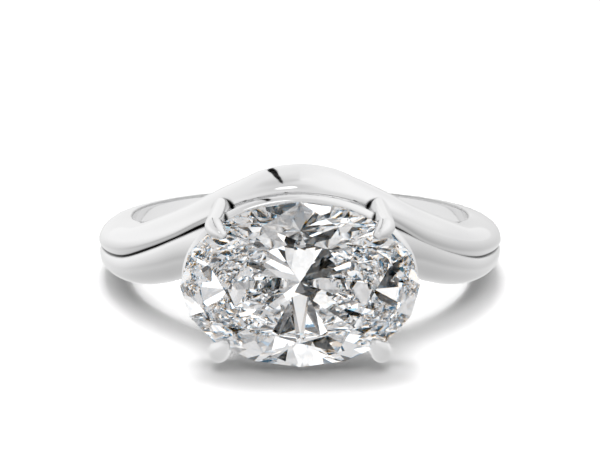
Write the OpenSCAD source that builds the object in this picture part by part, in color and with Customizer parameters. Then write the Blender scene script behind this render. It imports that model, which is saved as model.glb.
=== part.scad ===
// Twisted solitaire ring with an oval brilliant stone set across the finger.
// Two round strands leave the plain shank at the shoulders. The crest strand
// sweeps over the under strand and arches behind the stone; the under strand
// carries a four-claw basket with one thin gallery rail.
//
// The ring is worked out in its own frame first: finger axis along Z, head
// towards -Y, angles counted from the head around the finger. It is then laid
// down on the gallery rail's lower edge and the back of the shank, which is
// how it rests on a table by itself. The finger hole is a true cylinder where the
// metal goes all round, and opens by bore_flare towards both rims.
// Units are millimetres.

/* [Finger hole and shank] */
// Diameter of the finger hole
finger_d = 17.2; // [16:0.1:18.4]
// Radial thickness of the shank
shank_t = 1.7; // [1.4:0.05:2.0]
// Squareness of the strand section, 2 is a true ellipse
section_power = 2.1; // [2:0.1:2.6]

/* [Strands] */
// Height of the crest strand's top above the ring's middle plane
crest_top = 4.92; // [4.6:0.02:5.3]
// Width of the crest strand along the finger where it arches over the head
crest_w = 1.72; // [1.6:0.02:1.9]

/* [Oval stone] */
// Length of the stone, across the finger
stone_l = 10.97; // [10.6:0.01:11.4]
// Width of the stone, along the finger
stone_w = 7.73; // [7.5:0.01:8.1]
// Distance of the girdle plane from the finger axis
girdle_r = 13.17; // [13:0.01:13.5]
// Height of the crown above the middle of the girdle
crown_h = 1.49; // [1.3:0.01:1.6]
// Depth of the pavilion below the middle of the girdle
pavilion_h = 3.5; // [3.1:0.01:3.6]
// Thickness of the girdle
girdle_t = 0.16; // [0.1:0.02:0.3]
// Table size as a share of the girdle
table_share = 0.61; // [0.56:0.01:0.64]
// Lean of the stone and its setting away from the crest, in degrees
stone_lean = 1.1; // [0:0.1:2.5]
// Gap kept between the stone and the metal
stone_gap = 0.03; // [0.02:0.01:0.08]

/* [Setting] */
// Diameter of a claw prong, which its table's last column is a share of
prong_d = 0.92; // [0.84:0.02:1]
// Diameter of the gallery rail wire
rail_d = 0.62; // [0.5:0.01:0.8]
// Depth of the gallery rail's middle below the girdle
rail_drop = 1.37; // [1.2:0.01:1.5]

/* [Hidden] */
finger_r = finger_d / 2;
shank_r = finger_r + shank_t;
// each strand section is a half oval outside core_r and a flatter one inside
// it, which reaches into the finger hole and is bored away
core_r = finger_r - 0.15;
inside_r = finger_r - 0.5;
// the stretch of the finger hole, lower and upper z, with metal all round it,
// and the angle at which the hole opens beyond it
bore_from = -0.75;
bore_to = 0.58;
bore_flare = 1.5;

// Crest strand and shank, from the head to the back.
// columns: angle from the head, lower edge z on the left, lower edge z on the right,
// z of the fullest point, upper edge z, outer radius past the shank's
crest_rows = [
    [0,   crest_top - crest_w, crest_top - crest_w, 3.78, crest_top, 0.20],
    [10,  2.98,  2.98,  3.58,  4.69, 0.20],
    [18,  2.52,  2.48,  3.10,  4.14, 0.20],
    [27,  1.78,  1.46,  2.30,  3.47, 0.18],
    [36,  0.92,  0.34,  1.46,  2.73, 0.17],
    [47,  0.08, -0.42,  0.72,  1.99, 0.17],
    [58, -0.66, -0.82,  0.26,  1.38, 0.15],
    [68, -0.93, -0.95,  0.02,  1.08, 0.10],
    [80, -0.93, -0.94, -0.22,  0.91, 0.04],
    [96, -0.92, -0.92, -0.36,  0.84, 0.00],
    [120, -0.95, -0.95, -0.34, 0.72, 0.00],
    [150, -0.98, -0.98, -0.26, 0.63, 0.00],
    [180, -1.00, -1.00, -0.22, 0.61, 0.00]
];

// Under strand, from the middle of the head to its end inside the shank.
// columns as above
under_rows = [
    [0,  -1.10, -1.10,  0.60,  1.90, -0.82],
    [12, -1.04, -1.04,  0.90,  2.10, -0.58],
    [24, -0.80, -0.80,  1.50,  2.80, -0.12],
    [34, -0.78, -0.78,  1.02,  2.20, -0.02],
    [44, -1.32, -1.32,  0.16,  1.40,  0.00],
    [57, -1.84, -1.84, -0.72,  0.46,  0.00],
    [66, -1.98, -1.98, -0.98,  0.16,  0.00],
    [76, -1.92, -1.92, -0.98,  0.06,  0.00],
    [90, -1.58, -1.58, -0.82,  0.04, -0.01],
    [108, -1.18, -1.18, -0.58, 0.10, -0.06],
    [126, -0.76, -0.76, -0.30, 0.20, -0.34]
];

// slope of a smooth curve through a column at one row, level at both ends
function row_slope(rows, i, c) =
    i == 0 || i == len(rows) - 1 ? 0 :
    (rows[i + 1][c] - rows[i - 1][c]) / (rows[i + 1][0] - rows[i - 1][0]);
// the row that an angle falls in
function row_of(rows, a, i = 0) =
    i >= len(rows) - 2 || a < rows[i + 1][0] ? i : row_of(rows, a, i + 1);
// smooth value of a column at an angle
function smooth_at(rows, a, c) =
    let (i = row_of(rows, a), w = rows[i + 1][0] - rows[i][0],
         u = (a - rows[i][0]) / w, p = rows[i][c], q = rows[i + 1][c],
         m = row_slope(rows, i, c) * w, n = row_slope(rows, i + 1, c) * w)
    (2 * pow(u, 3) - 3 * u * u + 1) * p + (pow(u, 3) - 2 * u * u + u) * m
    + (3 * u * u - 2 * pow(u, 3)) * q + (pow(u, 3) - u * u) * n;

// signed power, for the rounded-square strand section
function soft(v) = sign(v) * pow(abs(v), 2 / section_power);
// one strand section of n points, standing in the radial plane at angle a
function strand_ring(rows, a, n) =
    let (b = abs(a), lo = smooth_at(rows, b, a < 0 ? 1 : 2), mid = smooth_at(rows, b, 3),
         hi = smooth_at(rows, b, 4), out = shank_r + smooth_at(rows, b, 5))
    [for (k = [0:n - 1])
        let (c = soft(cos(360 * k / n)), s = soft(sin(360 * k / n)),
             r = core_r + c * (c > 0 ? out - core_r : core_r - inside_r))
        [r * sin(a), -r * cos(a), mid + s * (s > 0 ? hi - mid : mid - lo)]];

// side faces between m rings of n points, closed back on the first ring if asked
function side_faces(m, n, closed) =
    [for (i = [0:(closed ? m - 1 : m - 2)]) for (k = [0:n - 1]) for (h = [0, 1])
        let (j = (i + 1) % m, l = (k + 1) % n)
        h == 0 ? [i * n + k, i * n + l, j * n + l] : [i * n + k, j * n + l, j * n + k]];
function cap_faces(m, n) =
    concat([for (k = [1:n - 2]) [0, k + 1, k]],
           [for (k = [1:n - 2]) [(m - 1) * n, (m - 1) * n + k, (m - 1) * n + k + 1]]);

// solid through a list of rings, each a list of n points
module skin(rings, closed = false) {
    m = len(rings);
    n = len(rings[0]);
    polyhedron(points = [for (r = rings) each r],
               faces = closed ? side_faces(m, n, true)
                              : concat(side_faces(m, n, false), cap_faces(m, n)));
}

module crest_strand() {
    step = 5;
    skin([for (a = [-180:step:180 - step]) strand_ring(crest_rows, a, 18)], closed = true);
}

module under_strand() {
    half = 28;
    last = under_rows[len(under_rows) - 1][0];
    skin([for (i = [-half:half]) strand_ring(under_rows, i * last / half, 16)]);
}

// a point given from the girdle's centre, x along the stone, z along its short
// axis and y into the finger, put in place with the stone's lean
function leaned(p) =
    [p[0], p[1] * cos(stone_lean) - p[2] * sin(stone_lean) - girdle_r,
     p[1] * sin(stone_lean) + p[2] * cos(stone_lean)];
// a point by the stone: t degrees from the short axis around the oval, at a
// share of the girdle's size plus an outward offset, and a depth below the girdle
function by_stone(t, share, out, drop) =
    leaned([(stone_l / 2 * share + out) * sin(t), drop, (stone_w / 2 * share + out) * cos(t)]);

// gallery rail: a closed wire, a little fuller than the girdle's oval at the sides
rail_step = 7.5;
function rail_rings(n) =
    [for (t = [rail_step / 2:rail_step:360])
        [for (k = [0:n - 1])
            by_stone(t, 0.96, rail_d / 2 * (cos(360 * k / n) - 1) + 0.22,
                     rail_drop + rail_d / 2 * sin(360 * k / n))]];
module gallery_rail() { skin(rail_rings(8), closed = true); }

// Claw prongs, each from its foot to its tip over the crown.
// columns: share of the stone's half length, share of its half width, depth below
// the girdle, diameter share
crest_claw_rows = [
    [0.631, 0.756,  5.80, 1.11],
    [0.656, 0.737,  3.70, 1.09],
    [0.675, 0.724,  2.50, 1.04],
    [0.696, 0.714,  1.20, 0.98],
    [0.711, 0.709,  0.25, 0.93],
    [0.707, 0.704, -0.15, 0.91],
    [0.689, 0.680, -0.42, 0.81],
    [0.656, 0.649, -0.64, 0.60],
    [0.625, 0.624, -0.77, 0.28]
];
free_claw_rows = [
    [-0.047, -0.078, 4.17, 0.70],
    [0.029, 0.049,  4.05, 0.78],
    [0.128, 0.160,  3.59, 0.90],
    [0.226, 0.274,  3.10, 1.00],
    [0.354, 0.422,  2.47, 1.04],
    [0.485, 0.569,  1.77, 1.04],
    [0.605, 0.722,  1.05, 1.04],
    [0.675, 0.817,  0.45, 1.06],
    [0.682, 0.828,  0.05, 1.05],
    [0.671, 0.794, -0.22, 1.00],
    [0.649, 0.735, -0.46, 0.84],
    [0.624, 0.677, -0.66, 0.59],
    [0.605, 0.638, -0.77, 0.28]
];

function unit(v) = v / norm(v);
// sx and sz give the side of the stone that the claw stands at
module claw_prong(rows, sx, sz) {
    n = 10;
    m = len(rows);
    mid = [for (r = rows) leaned([sx * stone_l / 2 * r[0], r[2], sz * stone_w / 2 * r[1]])];
    skin([for (i = [0:m - 1])
        let (d = unit(mid[min(i + 1, m - 1)] - mid[max(i - 1, 0)]),
             side = unit(cross([0, 1, 0], [sx, 0, sz])),
             up = unit(cross(side, d)), r = prong_d / 2 * rows[i][3])
        [for (k = [0:n - 1])
            mid[i] + r * (cos(360 * k / n) * side + sin(360 * k / n) * up)]]);
}

// Oval brilliant: a round brilliant drawn out to the oval, with eight mains,
// sixteen girdle corners and a closed culet. grow widens it all round for the
// seat that is cut in the metal.
star_share = 0.815;
lower_share = 0.19;
function gem(t, share, h, grow) =
    leaned([(stone_l / 2 + grow) * share * sin(t), -h, (stone_w / 2 + grow) * share * cos(t)]);
function gem_points(grow) =
    let (e = 22.5, gt = girdle_t / 2 + grow, ct = crown_h + grow, pt = pavilion_h + grow * 1.4,
         top_h = gt + (ct - gt) * (1 - star_share * cos(e)) / (1 - table_share),
         low_h = gt + (pt - gt) * (1 - lower_share * cos(e)))
    concat(
        [for (k = [0:7]) gem(2 * e * k, table_share, ct, grow)],
        [for (k = [0:7]) gem(2 * e * k + e, star_share, top_h, grow)],
        [for (k = [0:15]) gem(e * k, 1, gt, grow)],
        [for (k = [0:15]) gem(e * k, 1, -gt, grow)],
        [for (k = [0:7]) gem(2 * e * k + e, lower_share, -low_h, grow)],
        [gem(0, 0, -pt, grow)]);
module brilliant(grow = 0) {
    faces = concat(
        [[for (k = [0:7]) k]],
        [for (k = [0:7]) [k, 8 + k, (k + 1) % 8]],
        [for (k = [0:7]) [k, 8 + (k + 7) % 8, 16 + 2 * k, 8 + k]],
        [for (k = [0:7]) [8 + k, 16 + 2 * k, 17 + 2 * k]],
        [for (k = [0:7]) [8 + k, 17 + 2 * k, 16 + (2 * k + 2) % 16]],
        [for (k = [0:15]) [16 + k, 32 + k, 32 + (k + 1) % 16, 16 + (k + 1) % 16]],
        [for (k = [0:7]) [32 + 2 * k, 48 + k, 33 + 2 * k]],
        [for (k = [0:7]) [33 + 2 * k, 48 + k, 32 + (2 * k + 2) % 16]],
        [for (k = [0:7]) [32 + 2 * k, 48 + (k + 7) % 8, 56, 48 + k]]);
    polyhedron(points = gem_points(grow), faces = faces);
}

// Lying down. The tilt is the one at which the rail's lower edge and the back
// of the shank are equally low.
rail_side = [for (r = rail_rings(8)) each r];
shank_back = strand_ring(crest_rows, 180, 36);
stone_side = gem_points(0);
function low_z(pts, t) = min([for (p = pts) p[2] * cos(t) - p[1] * sin(t)]);
function turned_y(pts, t) = [for (p = pts) p[1] * cos(t) + p[2] * sin(t)];
function even_tilt(a, b) =
    b - a < 0.001 ? (a + b) / 2 :
    let (t = (a + b) / 2) low_z(rail_side, t) < low_z(shank_back, t) ? even_tilt(t, b) : even_tilt(a, t);
lie_tilt = even_tilt(3, 12);
lie_z = -low_z(rail_side, lie_tilt);
lie_y = -(max(turned_y(shank_back, lie_tilt)) + min(turned_y(stone_side, lie_tilt))) / 2;
module laid() translate([0, lie_y, lie_z]) rotate([-lie_tilt, 0, 0]) children();

// the soldered metal with the seat for the stone, before the finger hole is bored
module soldered() difference() {
    union() {
        crest_strand();
        under_strand();
        gallery_rail();
        for (s = [-1, 1]) {
            claw_prong(crest_claw_rows, s, 1);
            claw_prong(free_claw_rows, s, -1);
        }
    }
    brilliant(stone_gap);
}

// the finger hole: a cylinder between bore_from and bore_to, then two open cones
module finger_hole() {
    wide = tan(bore_flare);
    rotate_extrude($fn = 128) polygon([[0, -6], [finger_r + wide * (bore_from + 6), -6],
        [finger_r, bore_from], [finger_r, bore_to], [finger_r + wide * (8 - bore_to), 8], [0, 8]]);
}

module ring_metal() color([0.86, 0.86, 0.87]) laid() difference() {
    soldered();
    finger_hole();
}

module oval_diamond() color([0.82, 0.9, 0.96]) laid() brilliant();

ring_metal();
oval_diamond();
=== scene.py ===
import math
import bpy
import bmesh
from mathutils import Matrix, Vector
from mathutils.bvhtree import BVHTree


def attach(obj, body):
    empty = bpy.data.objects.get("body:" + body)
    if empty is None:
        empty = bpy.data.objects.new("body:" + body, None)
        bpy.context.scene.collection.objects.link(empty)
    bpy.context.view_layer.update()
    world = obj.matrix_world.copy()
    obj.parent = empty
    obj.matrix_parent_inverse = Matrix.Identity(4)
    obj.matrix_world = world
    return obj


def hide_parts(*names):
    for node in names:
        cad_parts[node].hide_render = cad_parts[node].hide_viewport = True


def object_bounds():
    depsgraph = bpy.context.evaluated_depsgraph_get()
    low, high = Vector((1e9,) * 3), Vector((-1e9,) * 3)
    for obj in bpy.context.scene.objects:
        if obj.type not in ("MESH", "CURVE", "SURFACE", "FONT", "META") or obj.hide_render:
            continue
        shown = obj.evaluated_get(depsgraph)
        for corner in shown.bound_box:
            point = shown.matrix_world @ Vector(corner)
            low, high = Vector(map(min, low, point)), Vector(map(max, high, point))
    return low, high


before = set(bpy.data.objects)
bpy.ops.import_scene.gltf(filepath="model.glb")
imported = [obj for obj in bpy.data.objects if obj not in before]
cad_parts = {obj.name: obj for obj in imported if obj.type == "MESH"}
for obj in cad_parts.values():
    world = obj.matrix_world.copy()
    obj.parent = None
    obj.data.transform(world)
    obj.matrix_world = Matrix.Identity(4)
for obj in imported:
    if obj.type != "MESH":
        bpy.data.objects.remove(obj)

CAD_BOX = [list(c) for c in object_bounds()]
MM = 0.001

# --------------------------------------------------------------------------
# sizes, in millimetres, in the ring's own frame: finger axis Z, head -Y
# --------------------------------------------------------------------------
FINGER_R = 8.6
SHANK_R = 10.3
CORE_R = FINGER_R - 0.15
POWER = 2.1
BORE_FROM, BORE_TO, BORE_FLARE = -0.75, 0.58, math.radians(1.5)
STONE_L, STONE_W, GIRDLE_R = 10.97, 7.73, 13.17
CROWN_H, PAV_H, GIRDLE_T = 1.49, 3.5, 0.16
TABLE, STAR, LOWER = 0.61, 0.815, 0.19
LEAN = math.radians(1.1)
PRONG_D = 0.92
RAIL_D, RAIL_DROP, RAIL_SHARE, RAIL_OUT = 0.62, 1.37, 0.96, 0.22
LIE_TILT, LIE_Y, LIE_Z = math.radians(8.02927), 2.31807, 2.21905
GAP = 0.02

LAID = Matrix.Translation((0, LIE_Y * MM, LIE_Z * MM)) @ Matrix.Rotation(-LIE_TILT, 4, "X") @ Matrix.Scale(MM, 4)

# columns: angle from the head, lower z on the left, lower z on the right,
# z of the fullest point, upper z, outer radius past the shank's
CREST = [
    (0, 3.20, 3.20, 3.78, 4.92, 0.20),
    (10, 2.98, 2.98, 3.58, 4.69, 0.20),
    (18, 2.52, 2.48, 3.10, 4.14, 0.20),
    (27, 1.78, 1.46, 2.30, 3.47, 0.18),
    (36, 0.92, 0.34, 1.46, 2.73, 0.17),
    (47, 0.08, -0.42, 0.72, 1.99, 0.17),
    (58, -0.66, -0.82, 0.26, 1.38, 0.15),
    (68, -0.93, -0.95, 0.02, 1.08, 0.10),
    (80, -0.93, -0.94, -0.22, 0.91, 0.04),
    (96, -0.92, -0.92, -0.36, 0.84, 0.00),
    (120, -0.95, -0.95, -0.34, 0.72, 0.00),
    (150, -0.98, -0.98, -0.26, 0.63, 0.00),
    (180, -1.00, -1.00, -0.22, 0.61, 0.00),
]
UNDER = [
    (0, -1.10, -1.10, 0.60, 1.90, -0.82),
    (12, -1.04, -1.04, 0.90, 2.10, -0.58),
    (24, -0.80, -0.80, 1.50, 2.80, -0.12),
    (34, -0.78, -0.78, 1.02, 2.20, -0.02),
    (44, -1.32, -1.32, 0.16, 1.40, 0.00),
    (57, -1.84, -1.84, -0.72, 0.46, 0.00),
    (66, -1.98, -1.98, -0.98, 0.16, 0.00),
    (76, -1.92, -1.92, -0.98, 0.06, 0.00),
    (90, -1.58, -1.58, -0.82, 0.04, -0.01),
    (108, -1.18, -1.18, -0.58, 0.10, -0.06),
    (126, -0.76, -0.76, -0.30, 0.20, -0.34),
]


def smooth_at(rows, a, c):
    """Smooth value of a column at an angle, level at both ends of the table."""
    i = 0
    while i < len(rows) - 2 and a >= rows[i + 1][0]:
        i += 1

    def slope(j):
        if j == 0 or j == len(rows) - 1:
            return 0.0
        return (rows[j + 1][c] - rows[j - 1][c]) / (rows[j + 1][0] - rows[j - 1][0])

    w = rows[i + 1][0] - rows[i][0]
    u = (a - rows[i][0]) / w
    p, q, m, n = rows[i][c], rows[i + 1][c], slope(i) * w, slope(i + 1) * w
    return (2 * u**3 - 3 * u * u + 1) * p + (u**3 - 2 * u * u + u) * m + (3 * u * u - 2 * u**3) * q + (u**3 - u * u) * n


def soft(v):
    return math.copysign(abs(v) ** (2 / POWER), v)


def bore_r(z):
    """Radius of the finger hole: a cylinder in the middle, opening beyond it."""
    return FINGER_R + math.tan(BORE_FLARE) * max(0.0, z - BORE_TO, BORE_FROM - z)


def section(rows, a, over, edge, n_out=56, n_edge=6, n_in=12):
    """Closed outline (r, z) of one strand at an angle: round outside, a flat
    wall on the finger hole and a small rounding where the two meet."""
    b = abs(a)
    lo, mid = smooth_at(rows, b, 1 if a < 0 else 2), smooth_at(rows, b, 3)
    hi, out = smooth_at(rows, b, 4), SHANK_R + smooth_at(rows, b, 5)

    def curve(phi):
        c, s = soft(math.cos(phi)), soft(math.sin(phi))
        return CORE_R + c * (out - CORE_R), mid + s * (hi - mid if s > 0 else mid - lo)

    def meeting(side):
        """Angle on the outline where it comes to the edge's rounding."""
        phi = 1.4
        for _ in range(6):
            z = curve(side * phi)[1]
            c = (bore_r(z) + over + edge - CORE_R) / (out - CORE_R)
            phi = math.acos(min(0.95, c) ** (POWER / 2))
        return side * phi

    low, top = meeting(-1), meeting(1)
    pts = [curve(low + (top - low) * k / (n_out - 1)) for k in range(n_out)]

    def rounding(p, side):
        z2 = p[1] - side * edge
        corner, end = (bore_r(p[1]) + over, p[1] + side * 0.02 * edge), (bore_r(z2) + over, z2)
        return [tuple((1 - t) ** 2 * x + 2 * t * (1 - t) * y + t * t * z for x, y, z in zip(p, corner, end))
                for t in [k / n_edge for k in range(1, n_edge + 1)]]

    up, down = rounding(pts[-1], 1), rounding(pts[0], -1)
    z0, z1 = up[-1][1], down[-1][1]
    levels = [z0 + (z1 - z0) * k / n_in for k in range(1, n_in)]
    return pts + up + [(bore_r(z) + over, z) for z in levels] + list(reversed(down))


def tube_mesh(name, rings, closed):
    me = bpy.data.meshes.new(name)
    m, n = len(rings), len(rings[0])
    faces = []
    for i in range(m if closed else m - 1):
        j = (i + 1) % m
        for k in range(n):
            l = (k + 1) % n
            faces.append((i * n + k, i * n + l, j * n + l, j * n + k))
    if not closed:
        faces += [tuple(reversed(range(n))), tuple((m - 1) * n + k for k in range(n))]
    me.from_pydata([tuple(p) for r in rings for p in r], [], faces)
    bm = bmesh.new()
    bm.from_mesh(me)
    bmesh.ops.recalc_face_normals(bm, faces=bm.faces)
    bm.to_mesh(me)
    bm.free()
    me.update()
    return me


def strand_mesh(name, rows, angles, closed, over, edge):
    rings = []
    for a in angles:
        s, c = math.sin(math.radians(a)), math.cos(math.radians(a))
        rings.append([(r * s, -r * c, z) for r, z in section(rows, a, over, edge)])
    return tube_mesh(name, rings, closed)


def leaned(x, y, z):
    """A point given from the girdle's centre, put in place with the stone's lean."""
    c, s = math.cos(LEAN), math.sin(LEAN)
    return Vector((x, y * c - z * s - GIRDLE_R, y * s + z * c))


def by_stone(t, share, out, drop):
    t = math.radians(t)
    return leaned((STONE_L / 2 * share + out) * math.sin(t), drop, (STONE_W / 2 * share + out) * math.cos(t))


def catmull(rows, steps):
    """Rows of numbers, rounded through by a centripetal-like cubic."""
    out = []
    for i in range(len(rows) - 1):
        p0, p1 = rows[max(i - 1, 0)], rows[i]
        p2, p3 = rows[i + 1], rows[min(i + 2, len(rows) - 1)]
        for k in range(steps):
            u = k / steps
            out.append([
                0.5 * (2 * b + (c - a) * u + (2 * a - 5 * b + 4 * c - d) * u * u + (3 * b - a - 3 * c + d) * u**3)
                for a, b, c, d in zip(p0, p1, p2, p3)
            ])
    out.append(list(rows[-1]))
    return out


# columns: share of the stone's half length, share of its half width, depth below
# the girdle, diameter share
CREST_CLAW = [
    (0.631, 0.756, 4.60, 1.11), (0.656, 0.737, 3.70, 1.09), (0.675, 0.724, 2.50, 1.04), (0.696, 0.714, 1.20, 0.98),
    (0.711, 0.709, 0.25, 0.93), (0.707, 0.704, -0.15, 0.91), (0.689, 0.680, -0.42, 0.83), (0.656, 0.649, -0.64, 0.64),
    (0.625, 0.624, -0.765, 0.38), (0.612, 0.613, -0.80, 0.13),
]
FREE_CLAW = [
    (-0.047, -0.078, 4.17, 0.70), (0.029, 0.049, 4.05, 0.78), (0.128, 0.160, 3.59, 0.90), (0.226, 0.274, 3.10, 1.00),
    (0.354, 0.422, 2.47, 1.04), (0.485, 0.569, 1.77, 1.04), (0.605, 0.722, 1.05, 1.04), (0.675, 0.817, 0.45, 1.06),
    (0.682, 0.828, 0.05, 1.05), (0.671, 0.794, -0.22, 1.01), (0.649, 0.735, -0.46, 0.86), (0.624, 0.677, -0.66, 0.62),
    (0.605, 0.638, -0.765, 0.38), (0.598, 0.624, -0.80, 0.13),
]


def claw_mesh(name, rows, sx, sz, sides=32, steps=5):
    """One claw, on the side of the stone that the two signs give."""
    rows = catmull(rows, steps)
    mid = [leaned(sx * STONE_L / 2 * r[0], r[2], sz * STONE_W / 2 * r[1]) for r in rows]
    side = Vector((0, 1, 0)).cross(Vector((sx, 0, sz))).normalized()
    rings = []
    for i, r in enumerate(rows):
        d = (mid[min(i + 1, len(mid) - 1)] - mid[max(i - 1, 0)]).normalized()
        up = side.cross(d).normalized()
        rings.append([mid[i] + PRONG_D / 2 * r[3] * (math.cos(2 * math.pi * k / sides) * side + math.sin(2 * math.pi * k / sides) * up)
                      for k in range(sides)])
    return tube_mesh(name, rings, False)


def rail_mesh(name, around=160, sides=24):
    rings = []
    for i in range(around):
        t = 360 * (i + 0.5) / around
        rings.append([by_stone(t, RAIL_SHARE, RAIL_D / 2 * (math.cos(2 * math.pi * k / sides) - 1) + RAIL_OUT,
                               RAIL_DROP + RAIL_D / 2 * math.sin(2 * math.pi * k / sides)) for k in range(sides)])
    return tube_mesh(name, rings, True)


def gem(t, share, h, grow):
    t = math.radians(t)
    return leaned((STONE_L / 2 + grow) * share * math.sin(t), -h, (STONE_W / 2 + grow) * share * math.cos(t))


def brilliant_mesh(name, grow=0.0):
    e = 22.5
    gt, ct, pt = GIRDLE_T / 2 + grow, CROWN_H + grow, PAV_H + grow * 1.4
    ce = math.cos(math.radians(e))
    top_h = gt + (ct - gt) * (1 - STAR * ce) / (1 - TABLE)
    low_h = gt + (pt - gt) * (1 - LOWER * ce)
    pts = [gem(2 * e * k, TABLE, ct, grow) for k in range(8)]
    pts += [gem(2 * e * k + e, STAR, top_h, grow) for k in range(8)]
    pts += [gem(e * k, 1, gt, grow) for k in range(16)]
    pts += [gem(e * k, 1, -gt, grow) for k in range(16)]
    pts += [gem(2 * e * k + e, LOWER, -low_h, grow) for k in range(8)]
    pts += [gem(0, 0, -pt, grow)]
    f = [tuple(range(8))]
    f += [(k, 8 + k, (k + 1) % 8) for k in range(8)]
    f += [(k, 8 + (k + 7) % 8, 16 + 2 * k, 8 + k) for k in range(8)]
    f += [(8 + k, 16 + 2 * k, 17 + 2 * k) for k in range(8)]
    f += [(8 + k, 17 + 2 * k, 16 + (2 * k + 2) % 16) for k in range(8)]
    f += [(16 + k, 32 + k, 32 + (k + 1) % 16, 16 + (k + 1) % 16) for k in range(16)]
    f += [(32 + 2 * k, 48 + k, 33 + 2 * k) for k in range(8)]
    f += [(33 + 2 * k, 48 + k, 32 + (2 * k + 2) % 16) for k in range(8)]
    f += [(32 + 2 * k, 48 + (k + 7) % 8, 56, 48 + k) for k in range(8)]
    me = bpy.data.meshes.new(name)
    me.from_pydata([tuple(p) for p in pts], [], f)
    bm = bmesh.new()
    bm.from_mesh(me)
    bmesh.ops.recalc_face_normals(bm, faces=bm.faces)
    bm.to_mesh(me)
    bm.free()
    me.update()
    return me


def scene_object(me, name):
    ob = bpy.data.objects.new(name, me)
    bpy.context.scene.collection.objects.link(ob)
    return ob


# --------------------------------------------------------------------------
# the soldered metal: round shells joined into one clean solid
# --------------------------------------------------------------------------
shells = [
    strand_mesh("crest", CREST, [-180 + 1.5 * i for i in range(240)], True, 0.0, 0.10),
    strand_mesh("under", UNDER, [-126 + 1.5 * i for i in range(169)], False, 0.003, 0.10),
    rail_mesh("rail"),
]
for s in (-1, 1):
    shells.append(claw_mesh("crest_claw", CREST_CLAW, s, 1))
    shells.append(claw_mesh("free_claw", FREE_CLAW, s, -1))
seat = brilliant_mesh("seat", GAP)


def smooth_source(me):
    """The shell's faces with a soft normal at each corner of a face, for shading the joined solid."""
    for p in me.polygons:
        p.use_smooth = True
    normals = [v.normal.copy() for v in me.vertices]
    me.calc_loop_triangles()
    tris = [tuple(t.vertices) for t in me.loop_triangles]
    tree = BVHTree.FromPolygons([v.co for v in me.vertices], tris)
    return [v.co.copy() for v in me.vertices], normals, tris, tree


def weights(a, b, c, p):
    v0, v1, v2 = b - a, c - a, p - a
    d00, d01, d11 = v0.dot(v0), v0.dot(v1), v1.dot(v1)
    d20, d21 = v2.dot(v0), v2.dot(v1)
    den = d00 * d11 - d01 * d01
    if abs(den) < 1e-18:
        return 1.0, 0.0, 0.0
    v = (d11 * d20 - d01 * d21) / den
    w = (d00 * d21 - d01 * d20) / den
    return 1 - v - w, v, w


def joined(shells, seat):
    """One solid from the shells less the seat, by exact booleans, with each corner's normal taken from the shell its face came from."""
    slots = [bpy.data.materials.new(f"tag{i}") for i in range(len(shells) + 1)]
    objs = []
    for i, me in enumerate(shells + [seat]):
        for m in slots:
            me.materials.append(m)
        me.polygons.foreach_set("material_index", [i] * len(me.polygons))
        objs.append(scene_object(me, f"shell{i}"))
    base = objs[0]
    for i, other in enumerate(objs[1:], 1):
        mod = base.modifiers.new(f"join{i}", "BOOLEAN")
        mod.operation = "UNION" if i < len(shells) else "DIFFERENCE"
        mod.solver = "MANIFOLD"
        mod.object = other
    deps = bpy.context.evaluated_depsgraph_get()
    got = bpy.data.meshes.new_from_object(base.evaluated_get(deps), depsgraph=deps)
    sources = [smooth_source(me) for me in shells]
    for o in objs:
        bpy.data.objects.remove(o)
    for p in got.polygons:
        p.use_smooth = True
    loops = [None] * len(got.loops)
    for p in got.polygons:
        tag = p.material_index
        for li in p.loop_indices:
            co = got.vertices[got.loops[li].vertex_index].co
            n = p.normal
            if tag < len(sources):
                verts, normals, tris, tree = sources[tag]
                hit = tree.find_nearest(co)
                if hit[0] is not None:
                    a, b, c = tris[hit[2]]
                    wa, wb, wc = weights(verts[a], verts[b], verts[c], hit[0])
                    m = (normals[a] * wa + normals[b] * wb + normals[c] * wc).normalized()
                    if m.dot(p.normal) > 0.3:
                        n = m
            loops[li] = n
    got.materials.clear()
    got.polygons.foreach_set("material_index", [0] * len(got.polygons))
    got.update()
    got.normals_split_custom_set([tuple(n) for n in loops])
    for m in slots:
        bpy.data.materials.remove(m)
    return got


def kept_inside(me):
    """The last few thousandths of a millimetre by which a finer mesh would pass the CAD box, taken off."""
    for v in me.vertices:
        v.co = [min(max(c, a), b) for c, a, b in zip(v.co, *CAD_BOX)]


metal_mesh = joined(shells, seat)
metal_mesh.name = "ring_band"
# into the frame, with the corner normals turned along
turn = LAID.to_3x3().normalized()
loop_normals = [turn @ Vector(c.vector) for c in metal_mesh.corner_normals]
metal_mesh.transform(LAID)
kept_inside(metal_mesh)
metal_mesh.normals_split_custom_set([tuple(n) for n in loop_normals])
metal = scene_object(metal_mesh, "ring_band")

stone_mesh = brilliant_mesh("oval_brilliant")
stone_mesh.transform(LAID)
kept_inside(stone_mesh)
stone = scene_object(stone_mesh, "oval_brilliant")

# --------------------------------------------------------------------------
# materials
# --------------------------------------------------------------------------


def new_material(name):
    mat = bpy.data.materials.new(name)
    mat.use_nodes = True
    nt = mat.node_tree
    nt.nodes.clear()
    return mat, nt, nt.nodes.new("ShaderNodeOutputMaterial")


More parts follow.
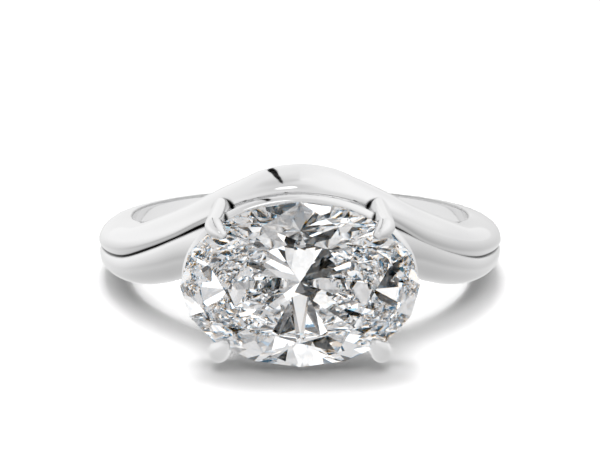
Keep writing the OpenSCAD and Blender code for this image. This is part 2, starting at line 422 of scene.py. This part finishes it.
def white_metal():
    mat, nt, out = new_material("polished_white_metal")
    N, L = nt.nodes, nt.links
    bsdf = N.new("ShaderNodeBsdfPrincipled")
    bsdf.inputs["Metallic"].default_value = 1.0
    co = N.new("ShaderNodeTexCoord")
    # faint rhodium tone drift over the surface
    tone = N.new("ShaderNodeTexNoise")
    tone.inputs["Scale"].default_value = 260.0
    tone.inputs["Detail"].default_value = 3.0
    L.new(co.outputs["Object"], tone.inputs["Vector"])
    ramp = N.new("ShaderNodeValToRGB")
    ramp.color_ramp.elements[0].position = 0.3
    ramp.color_ramp.elements[0].color = (0.79, 0.79, 0.795, 1)
    ramp.color_ramp.elements[1].position = 0.7
    ramp.color_ramp.elements[1].color = (0.82, 0.82, 0.82, 1)
    L.new(tone.outputs["Fac"], ramp.inputs["Fac"])
    # painted shade: the narrow creases between soldered parts are darkened almost to black where ambient occlusion
    # finds them, standing in for the shade that falls there
    painted_crease_shade = N.new("ShaderNodeAmbientOcclusion")
    painted_crease_shade.samples = 12
    painted_crease_shade.only_local = True
    painted_crease_shade.inputs["Distance"].default_value = 0.24 * MM
    depth = N.new("ShaderNodeMapRange")
    depth.interpolation_type = "SMOOTHSTEP"
    depth.inputs["From Min"].default_value = 0.71
    depth.inputs["From Max"].default_value = 0.91
    L.new(painted_crease_shade.outputs["AO"], depth.inputs["Value"])
    mix = N.new("ShaderNodeMix")
    mix.data_type = "RGBA"
    mix.inputs["A"].default_value = (0.012, 0.012, 0.012, 1)
    L.new(depth.outputs["Result"], mix.inputs["Factor"])
    L.new(ramp.outputs["Color"], mix.inputs["B"])
    # painted reflection: the finely rounded edge of the finger hole, found by inside ambient occlusion, is painted
    # black as a hairline, standing in for its mirror of the room's dark
    painted_rim_line = N.new("ShaderNodeAmbientOcclusion")
    painted_rim_line.samples = 12
    painted_rim_line.only_local = True
    painted_rim_line.inside = True
    painted_rim_line.inputs["Distance"].default_value = 0.12 * MM
    sharp = N.new("ShaderNodeMapRange")
    sharp.interpolation_type = "SMOOTHSTEP"
    sharp.inputs["From Min"].default_value = 0.80
    sharp.inputs["From Max"].default_value = 0.93
    sharp.inputs["To Min"].default_value = 0.02
    sharp.inputs["To Max"].default_value = 1.0
    L.new(painted_rim_line.outputs["AO"], sharp.inputs["Value"])
    lined = N.new("ShaderNodeMix")
    lined.data_type = "RGBA"
    lined.inputs["A"].default_value = (0.0, 0.0, 0.0, 1)
    L.new(sharp.outputs["Result"], lined.inputs["Factor"])
    L.new(mix.outputs["Result"], lined.inputs["B"])
    L.new(lined.outputs["Result"], bsdf.inputs["Base Color"])
    # a hand polish: very low roughness with a slight haze drift
    haze = N.new("ShaderNodeTexNoise")
    haze.inputs["Scale"].default_value = 420.0
    haze.inputs["Detail"].default_value = 4.0
    L.new(co.outputs["Object"], haze.inputs["Vector"])
    rough = N.new("ShaderNodeMapRange")
    rough.inputs["From Min"].default_value = 0.3
    rough.inputs["From Max"].default_value = 0.7
    rough.inputs["To Min"].default_value = 0.055
    rough.inputs["To Max"].default_value = 0.085
    L.new(haze.outputs["Fac"], rough.inputs["Value"])
    L.new(rough.outputs["Result"], bsdf.inputs["Roughness"])
    L.new(bsdf.outputs["BSDF"], out.inputs["Surface"])
    return mat


def clear_stone():
    mat, nt, out = new_material("colourless_brilliant")
    N, L = nt.nodes, nt.links
    # the outside of the stone only lets the eye in, since the dark room in front of a photographed stone
    # leaves nothing there to mirror; it splits a little of the light into a warm and a cool part for the fire
    def way_in(colour, ior):
        g = N.new("ShaderNodeBsdfRefraction")
        g.inputs["Color"].default_value = (*colour, 1)
        g.inputs["Roughness"].default_value = 0.0
        g.inputs["IOR"].default_value = ior
        return g.outputs["BSDF"]

    fire = N.new("ShaderNodeAddShader")
    L.new(way_in((1.0, 0.5, 0.0), 2.397), fire.inputs[0])
    L.new(way_in((0.0, 0.5, 1.0), 2.443), fire.inputs[1])
    outside = N.new("ShaderNodeMixShader")
    outside.inputs["Fac"].default_value = 0.26
    L.new(way_in((1.0, 1.0, 1.0), 2.417), outside.inputs[1])
    L.new(fire.outputs["Shader"], outside.inputs[2])
    clear = N.new("ShaderNodeBsdfGlass")
    clear.inputs["Color"].default_value = (1.0, 1.0, 1.0, 1)
    clear.inputs["Roughness"].default_value = 0.0
    clear.inputs["IOR"].default_value = 2.417
    mix = N.new("ShaderNodeMixShader")
    L.new(N.new("ShaderNodeLightPath").outputs["Is Camera Ray"], mix.inputs["Fac"])
    L.new(clear.outputs["BSDF"], mix.inputs[1])
    L.new(outside.outputs["Shader"], mix.inputs[2])
    L.new(mix.outputs["Shader"], out.inputs["Surface"])
    return mat


metal.data.materials.append(white_metal())
stone.data.materials.append(clear_stone())

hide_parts("ring_metal")
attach(metal, "root")
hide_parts("oval_diamond")
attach(stone, "root")

# --------------------------------------------------------------------------
# floor, light and camera
# --------------------------------------------------------------------------
bpy.ops.mesh.primitive_plane_add(size=6, location=(0, 0, 0))
floor = bpy.context.object
floor.name = "floor"
fmat, fnt, fout = new_material("pale_floor")
fb = fnt.nodes.new("ShaderNodeBsdfPrincipled")
fb.inputs["Base Color"].default_value = (0.93, 0.93, 0.93, 1)
fb.inputs["Roughness"].default_value = 0.6
fb.inputs["Specular IOR Level"].default_value = 0.0
fnt.links.new(fb.outputs["BSDF"], fout.inputs["Surface"])
floor.data.materials.append(fmat)
floor.visible_glossy = floor.visible_transmission = False


def mirror_only(ob, mat):
    """A card of the studio that shows in the metal's reflections and nowhere else."""
    ob.data.materials.append(mat)
    ob.visible_camera = ob.visible_diffuse = ob.visible_transmission = ob.visible_shadow = False


# painted reflection: what the polished metal mirrors of the floor is a glowing card seen only in reflections, as bright
# as the room at the horizon, dimmer straight down, brighter inside the finger hole, with a painted shadow below the
# ring
bpy.ops.mesh.primitive_plane_add(size=6, location=(0, 0, 0))
mirrored = bpy.context.object
mirrored.name = "floor_in_mirror"
mmat, mnt, mout = new_material("mirrored_floor")
slant = mnt.nodes.new("ShaderNodeLayerWeight")
slant.inputs["Blend"].default_value = 0.5
reach = mnt.nodes.new("ShaderNodeMapRange")
reach.inputs["From Min"].default_value = 0.0
reach.inputs["From Max"].default_value = 1.0
spot = mnt.nodes.new("ShaderNodeVectorMath")   # from the middle of the finger hole
spot.operation = "SUBTRACT"
spot.inputs[1].default_value = (0, LIE_Y * MM, 0)
mnt.links.new(mnt.nodes.new("ShaderNodeTexCoord").outputs["Object"], spot.inputs[0])
away = mnt.nodes.new("ShaderNodeVectorMath")
away.operation = "LENGTH"
mnt.links.new(spot.outputs["Vector"], away.inputs[0])
hole = mnt.nodes.new("ShaderNodeMapRange")
hole.interpolation_type = "SMOOTHSTEP"
hole.inputs["From Min"].default_value = 0.010
hole.inputs["From Max"].default_value = 0.016
hole.inputs["To Min"].default_value = 1.06
mnt.links.new(away.outputs["Value"], hole.inputs["Value"])
unit = mnt.nodes.new("ShaderNodeVectorMath")
unit.operation = "NORMALIZE"
mnt.links.new(spot.outputs["Vector"], unit.inputs[0])
part = mnt.nodes.new("ShaderNodeSeparateXYZ")
mnt.links.new(unit.outputs["Vector"], part.inputs["Vector"])
right = mnt.nodes.new("ShaderNodeMapRange")
right.interpolation_type = "SMOOTHSTEP"
right.inputs["From Min"].default_value = -0.8
right.inputs["From Max"].default_value = 0.3
right.inputs["To Min"].default_value = 1.08
right.inputs["To Max"].default_value = 0.88
mnt.links.new(part.outputs["X"], right.inputs["Value"])
mnt.links.new(right.outputs["Result"], hole.inputs["To Max"])
mnt.links.new(hole.outputs["Result"], reach.inputs["To Max"])
# painted shadow: the dip below the ring stands in for the ring's own shade on the floor
# looked at straight down: darker outside the ring than the real floor is, so that
# the strands' lower sides come out as grey as in the photo
# columns: millimetres from the middle of the hole, brightness
FLOOR_DOWN = [(0.0, 0.64), (7.4, 0.64), (8.8, 0.58), (10.6, 0.58), (12.0, 0.60), (13.6, 0.38), (20.0, 0.38)]
span = mnt.nodes.new("ShaderNodeMapRange")
span.inputs["From Max"].default_value = FLOOR_DOWN[-1][0] * MM
mnt.links.new(away.outputs["Value"], span.inputs["Value"])
down = mnt.nodes.new("ShaderNodeValToRGB")
de = down.color_ramp.elements
while len(de) > 1:
    de.remove(de[-1])
for n, (r, v) in enumerate(FLOOR_DOWN):
    e = de[0] if n == 0 else de.new(r / FLOOR_DOWN[-1][0])
    e.position = r / FLOOR_DOWN[-1][0]
    e.color = (v, v, v, 1)
mnt.links.new(span.outputs["Result"], down.inputs["Fac"])
front = mnt.nodes.new("ShaderNodeMapRange")    # 1 on the open floor before the head
front.interpolation_type = "SMOOTHSTEP"
front.inputs["From Min"].default_value = -0.99
front.inputs["From Max"].default_value = -0.86
front.inputs["To Min"].default_value = 1.0
front.inputs["To Max"].default_value = 0.0
mnt.links.new(part.outputs["Y"], front.inputs["Value"])
before = mnt.nodes.new("ShaderNodeMix")
before.data_type = "FLOAT"
before.inputs["B"].default_value = 0.80
mnt.links.new(front.outputs["Result"], before.inputs["Factor"])
mnt.links.new(down.outputs["Color"], before.inputs["A"])
mnt.links.new(before.outputs["Result"], reach.inputs["To Min"])
mnt.links.new(slant.outputs["Facing"], reach.inputs["Value"])
mglow = mnt.nodes.new("ShaderNodeEmission")
mnt.links.new(reach.outputs["Result"], mglow.inputs["Strength"])
mnt.links.new(mglow.outputs["Emission"], mout.inputs["Surface"])
mirror_only(mirrored, mmat)


def plain_glow(name, value):
    mat, nt, out = new_material(name)
    e = nt.nodes.new("ShaderNodeEmission")
    e.inputs["Color"].default_value = (1, 1, 1, 1)
    e.inputs["Strength"].default_value = value
    nt.links.new(e.outputs["Emission"], out.inputs["Surface"])
    return mat


# the dark gap between two overhead softboxes, which the crest mirrors as one black streak;
# columns: distance behind the ring, left edge, right edge, all as shares of the softboxes' height
GAP_ROWS = [(-0.31, -0.250, -0.238), (-0.05, -0.273, -0.223), (0.17, -0.277, -0.229), (0.41, -0.298, -0.238),
            (0.70, -0.330, -0.266), (1.05, -0.362, -0.290), (1.60, -0.43, -0.335), (2.40, -0.54, -0.42), (4.60, -0.80, -0.66)]
HEIGHT, ABOVE = 0.25, Vector((-0.002, -0.011, 0.006))
gap_me = bpy.data.meshes.new("softbox_gap")
gap_me.from_pydata([tuple(ABOVE + HEIGHT * Vector((x, r[0], 1))) for r in GAP_ROWS for x in r[1:]], [],
                   [(2 * k, 2 * k + 1, 2 * k + 3, 2 * k + 2) for k in range(len(GAP_ROWS) - 1)])
mirror_only(scene_object(gap_me, "softbox_gap"), plain_glow("gap_dark", 0.0))

# the small bright card in front, which makes the highlight below that streak
bpy.ops.mesh.primitive_circle_add(vertices=48, radius=0.036, fill_type="NGON")
card = bpy.context.object
card.name = "front_card"
aim = Vector((-0.17, -0.74, 0.65)).normalized()
card.location = ABOVE + 0.25 * aim
card.rotation_euler = (-aim).to_track_quat("-Z", "Y").to_euler()
mirror_only(card, plain_glow("card_bright", 1.7))

# the light tent that only the stone looks out at: plain panels of white, grey, black and pale blue
bpy.ops.mesh.primitive_ico_sphere_add(subdivisions=4, radius=0.06, location=(0, 0.0, 0.003))
tent = bpy.context.object
tent.name = "stone_tent"
tmat, tnt, tout = new_material("tent_panels")
TN, TL = tnt.nodes, tnt.links
tc = TN.new("ShaderNodeTexCoord")
cells = TN.new("ShaderNodeTexVoronoi")
cells.voronoi_dimensions = "3D"
cells.feature = "F1"
cells.distance = "CHEBYCHEV"
cells.inputs["Scale"].default_value = 36.0
cells.inputs["Randomness"].default_value = 0.9
hung = TN.new("ShaderNodeVectorMath")
hung.operation = "ADD"
hung.inputs[1].default_value = (0.75, 1.27, 1.91)
TL.new(tc.outputs["Object"], hung.inputs[0])
TL.new(hung.outputs["Vector"], cells.inputs["Vector"])
pick = TN.new("ShaderNodeSeparateColor")
TL.new(cells.outputs["Color"], pick.inputs["Color"])
panel = TN.new("ShaderNodeValToRGB")
panel.color_ramp.interpolation = "CONSTANT"
PANELS = [(0.0, (0.0, 0.0, 0.0)), (0.20, (0.16, 0.16, 0.165)), (0.29, (0.42, 0.42, 0.425)), (0.46, (0.72, 0.72, 0.725)),
          (0.66, (1.05, 1.05, 1.05)), (0.80, (1.45, 1.45, 1.45)), (0.93, (0.42, 0.82, 1.00))]
pe = panel.color_ramp.elements
while len(pe) > 1:
    pe.remove(pe[-1])
for n, (at, c) in enumerate(PANELS):
    e = pe[0] if n == 0 else pe.new(at)
    e.position = at
    e.color = (*c, 1)
TL.new(pick.outputs["Red"], panel.inputs["Fac"])
glow = TN.new("ShaderNodeEmission")
TL.new(panel.outputs["Color"], glow.inputs["Color"])
glow.inputs["Strength"].default_value = 1.0
TL.new(glow.outputs["Emission"], tout.inputs["Surface"])
tent.data.materials.append(tmat)
tent.visible_camera = tent.visible_diffuse = tent.visible_glossy = tent.visible_shadow = tent.visible_volume_scatter = False

# the studio, by direction only: brightness around the ring at three heights
world = bpy.data.worlds.new("studio")
bpy.context.scene.world = world
world.use_nodes = True
wt = world.node_tree
WN, WL = wt.nodes, wt.links
back = WN["Background"]
wc = WN.new("ShaderNodeTexCoord")
sep = WN.new("ShaderNodeSeparateXYZ")
WL.new(wc.outputs["Generated"], sep.inputs["Vector"])
turned = WN.new("ShaderNodeCombineXYZ")   # azimuth from behind the ring, so the ramps start there
flip = WN.new("ShaderNodeMath")
flip.operation = "MULTIPLY"
flip.inputs[1].default_value = -1.0
WL.new(sep.outputs["Y"], flip.inputs[0])
WL.new(flip.outputs["Value"], turned.inputs["X"])
WL.new(sep.outputs["X"], turned.inputs["Y"])
around = WN.new("ShaderNodeTexGradient")
around.gradient_type = "RADIAL"
WL.new(turned.outputs["Vector"], around.inputs["Vector"])


def wall(stops):
    """Brightness around the ring: pairs of degrees (0 towards the camera, + to the right) and value."""
    ramp = WN.new("ShaderNodeValToRGB")
    ramp.color_ramp.interpolation = "B_SPLINE"
    els = ramp.color_ramp.elements
    while len(els) > 1:
        els.remove(els[-1])
    for n, (deg, v) in enumerate(stops):
        e = els[0] if n == 0 else els.new((deg + 180) / 360)
        e.position = (deg + 180) / 360
        e.color = (v, v, v, 1)
    WL.new(around.outputs["Fac"], ramp.inputs["Fac"])
    return ramp.outputs["Color"]


def blend(a, b, lo, hi):
    m = WN.new("ShaderNodeMapRange")
    m.interpolation_type = "SMOOTHSTEP"
    m.inputs["From Min"].default_value = math.sin(math.radians(lo))
    m.inputs["From Max"].default_value = math.sin(math.radians(hi))
    WL.new(sep.outputs["Z"], m.inputs["Value"])
    x = WN.new("ShaderNodeMix")
    x.data_type = "RGBA"
    WL.new(m.outputs["Result"], x.inputs["Factor"])
    WL.new(a, x.inputs["A"])
    WL.new(b, x.inputs["B"])
    return x.outputs["Result"]


# a plain white room: grey in front, where it is open, and a ceiling that is greyer on the left
LOW_WALL = [(-180, 0.85), (-120, 0.90), (-60, 0.90), (0, 0.65), (60, 0.75), (120, 0.75), (180, 0.85)]
HIGH_WALL = [(-180, 0.80), (-60, 0.80), (0, 0.50), (30, 0.95), (150, 0.95), (180, 0.80)]
CEILING = [(-180, 0.80), (-60, 0.50), (0, 0.80), (60, 0.90), (150, 0.90), (180, 0.80)]
tone = blend(blend(wall(LOW_WALL), wall(HIGH_WALL), 10, 40), wall(CEILING), 50, 75)
WL.new(tone, back.inputs["Color"])
back.inputs["Strength"].default_value = 1.22

world.cycles_visibility.diffuse = False   # the floor is lit by the two soft lights below


def soft_light(name, place, size, watts):
    """A square soft light turned to the ring, mirrored neither in the metal nor in the stone."""
    light = bpy.data.lights.new(name, "AREA")
    light.shape = "SQUARE"
    light.size = size
    light.energy = watts
    ob = bpy.data.objects.new(name, light)
    ob.location = place
    ob.rotation_euler = (-Vector(place)).to_track_quat("-Z", "Y").to_euler()
    ob.visible_glossy = ob.visible_transmission = ob.visible_camera = False
    bpy.context.scene.collection.objects.link(ob)
    return ob


soft_light("key_from_behind", (-0.03, 0.15, 0.47), 0.20, 1.5)
soft_light("fill_overhead", (0.0, -0.10, 0.50), 0.70, 3.6)

# the camera looks across the ring from 11 degrees above its own plane
EL, DIST, FOCAL = math.radians(11.0), 113.0, 2192.0
fwd = Vector((0, math.cos(EL), -math.sin(EL)))
rot = Matrix((( 1, 0, 0), (0, math.sin(EL), math.cos(EL)), (0, -math.cos(EL), math.sin(EL)))).transposed()
cam_data = bpy.data.cameras.new("camera")
cam_data.sensor_width = 36
cam_data.lens = 36 * FOCAL / 600
cam_data.shift_y = (229.9 - 225) / 600
cam_data.clip_start = 0.005
cam_data.clip_end = 20
cam = bpy.data.objects.new("camera", cam_data)
bpy.context.scene.collection.objects.link(cam)
lay = Matrix.Translation((0, LIE_Y * MM, LIE_Z * MM)) @ Matrix.Rotation(-LIE_TILT, 4, "X")
cam.matrix_world = lay @ (Matrix.Translation(-fwd * DIST * MM) @ rot.to_4x4())
bpy.context.scene.camera = cam

sc = bpy.context.scene
sc.view_settings.view_transform = "Standard"
sc.view_settings.look = "None"
sc.cycles.max_bounces = 40
sc.cycles.transmission_bounces = 40
sc.cycles.glossy_bounces = 40
sc.cycles.diffuse_bounces = 4
sc.cycles.sample_clamp_indirect = 0.0
sc.cycles.use_denoising = True
sc.cycles.denoiser = "OPENIMAGEDENOISE"
sc.cycles.denoising_input_passes = "RGB"
